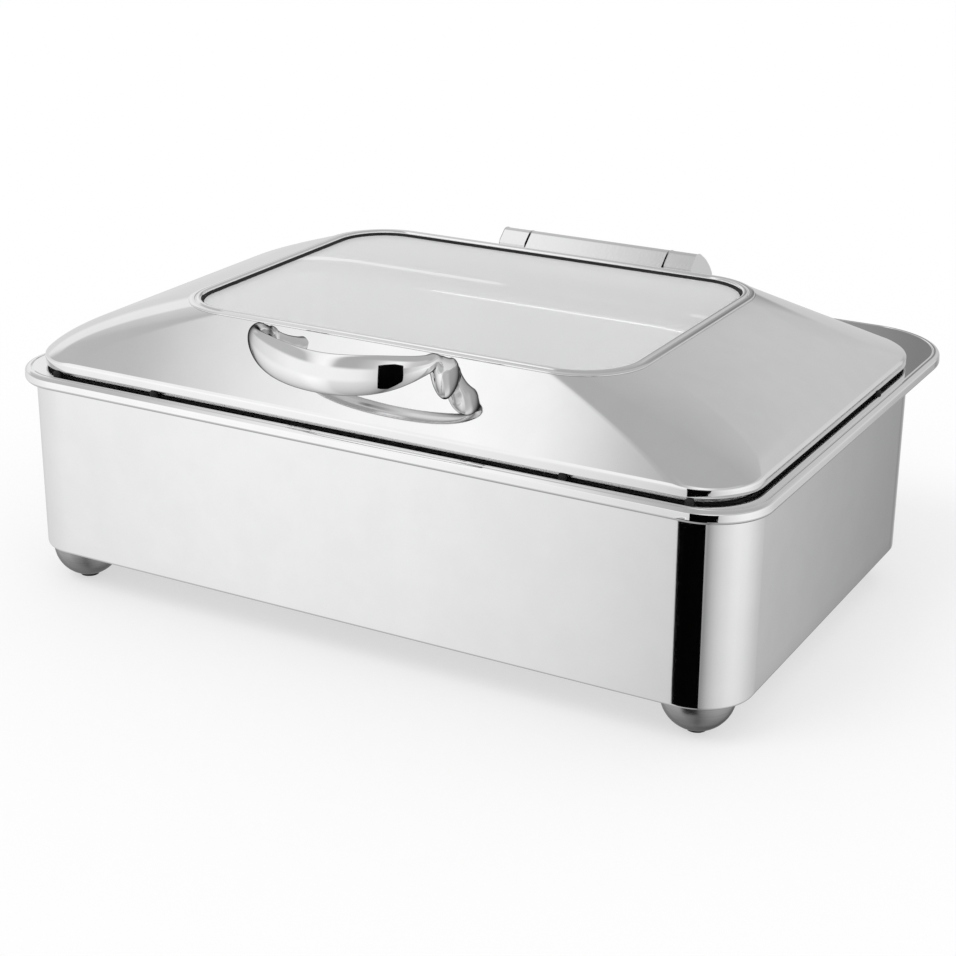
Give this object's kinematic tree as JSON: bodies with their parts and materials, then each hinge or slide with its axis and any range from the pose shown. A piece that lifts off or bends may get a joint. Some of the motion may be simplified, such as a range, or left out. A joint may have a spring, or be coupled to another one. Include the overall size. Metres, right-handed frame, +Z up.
{
  "type": "electric chafing dish",
  "caption": "Rectangular electric chafing dish in polished steel: ball feet, rolled rim, hinged crowned lid with a glass window and bowed handle, food pan over a heated water pan.",
  "frame": {"origin": "middle of the footprint, on the counter", "axes": "+X to the right of someone at the handle side, +Y to the back, where the hinge is, +Z up"},
  "size_m": [0.591, 0.4766, 0.2398],
  "materials": {
    "mirror_steel": "mirror polished",
    "satin_steel": "satin",
    "fastener_steel": "plain",
    "hinge_metal": "polished casting",
    "heater_metal": "rolled",
    "element_sheath": "oxidised",
    "bush_bronze": "plain",
    "damper_case": "plain",
    "contact_brass": "plated",
    "black_plastic": "fine grain",
    "rocker_plastic": "gloss",
    "dial_print": "brushed",
    "amber_lens": "clear tinted",
    "terminal_white": "plain",
    "black_rubber": "matt",
    "grey_silicone": "matt",
    "wire_silicone": "matt",
    "mineral_wool": "fibrous",
    "clear_glass": "clear tempered"
  },
  "bodies": {
    "base": {"base_plate": "satin_steel", "base_screws": "fastener_steel", "bulb_clips": "satin_steel", "capillary_tube": "contact_brass", "clamp_nuts": "fastener_steel", "clamp_studs": "fastener_steel", "control_panel": "satin_steel", "dial_plate": "dial_print", "element_clamps": "satin_steel", "food_pan": "satin_steel", "foot_back_left": "satin_steel", "foot_back_right": "satin_steel", "foot_bolts": "fastener_steel", "foot_front_left": "satin_steel", "foot_front_right": "satin_steel", "foot_pad_back_left": "black_rubber", "foot_pad_back_right": "black_rubber", "foot_pad_front_left": "black_rubber", "foot_pad_front_right": "black_rubber", "heat_shield": "satin_steel", "heater_plate": "heater_metal", "heating_element": "element_sheath", "hinge_base": "hinge_metal", "hinge_dampers": "damper_case", "hinge_pin": "satin_steel", "hinge_screws": "fastener_steel", "hinge_stiffener": "satin_steel", "indicator_lamp": "black_plastic", "indicator_lens": "amber_lens", "inlet_pins": "contact_brass", "inner_wires": "wire_silicone", "insulation_pad": "mineral_wool", "lid_bumpers": "grey_silicone", "outer_body": "mirror_steel", "overheat_cutout": "black_plastic", "panel_screws": "fastener_steel", "power_inlet": "black_plastic", "rim_frame": "mirror_steel", "sensor_bulb": "satin_steel", "shield_spacers": "satin_steel", "switch_housing": "black_plastic", "terminal_block": "terminal_white", "thermostat_body": "black_plastic", "water_pan": "satin_steel"},
    "lid": {"lid_shell": "mirror_steel", "window_bezel": "mirror_steel", "window_gasket": "black_rubber", "window_glass": "clear_glass", "window_retainer": "satin_steel", "retainer_screws": "fastener_steel", "handle_grip": "mirror_steel", "handle_bolts": "fastener_steel", "handle_washers": "satin_steel", "hinge_arm": "hinge_metal", "hinge_arm_screws": "fastener_steel", "hinge_backing": "satin_steel", "hinge_bushes": "bush_bronze"},
    "knob": {"thermostat_knob": "black_plastic", "thermostat_shaft": "satin_steel"},
    "rocker": {"switch_rocker": "rocker_plastic"}
  },
  "joints": [
    {"name": "lid_hinge", "type": "hinge", "parent": "base", "child": "lid", "pos_m": [0, 0.202, 0.1953], "axis": [-1, 0, 0], "range_deg": [0, 90]},
    {"name": "thermostat_turn", "type": "hinge", "parent": "base", "child": "knob", "pos_m": [0.088, 0.1706, 0.058], "axis": [0, -1, 0], "range_deg": [0, 270]},
    {"name": "power_rocker", "type": "hinge", "parent": "base", "child": "rocker", "pos_m": [0.16, 0.1581, 0.058], "axis": [1, 0, 0], "range_deg": [0, 18]}
  ]
}
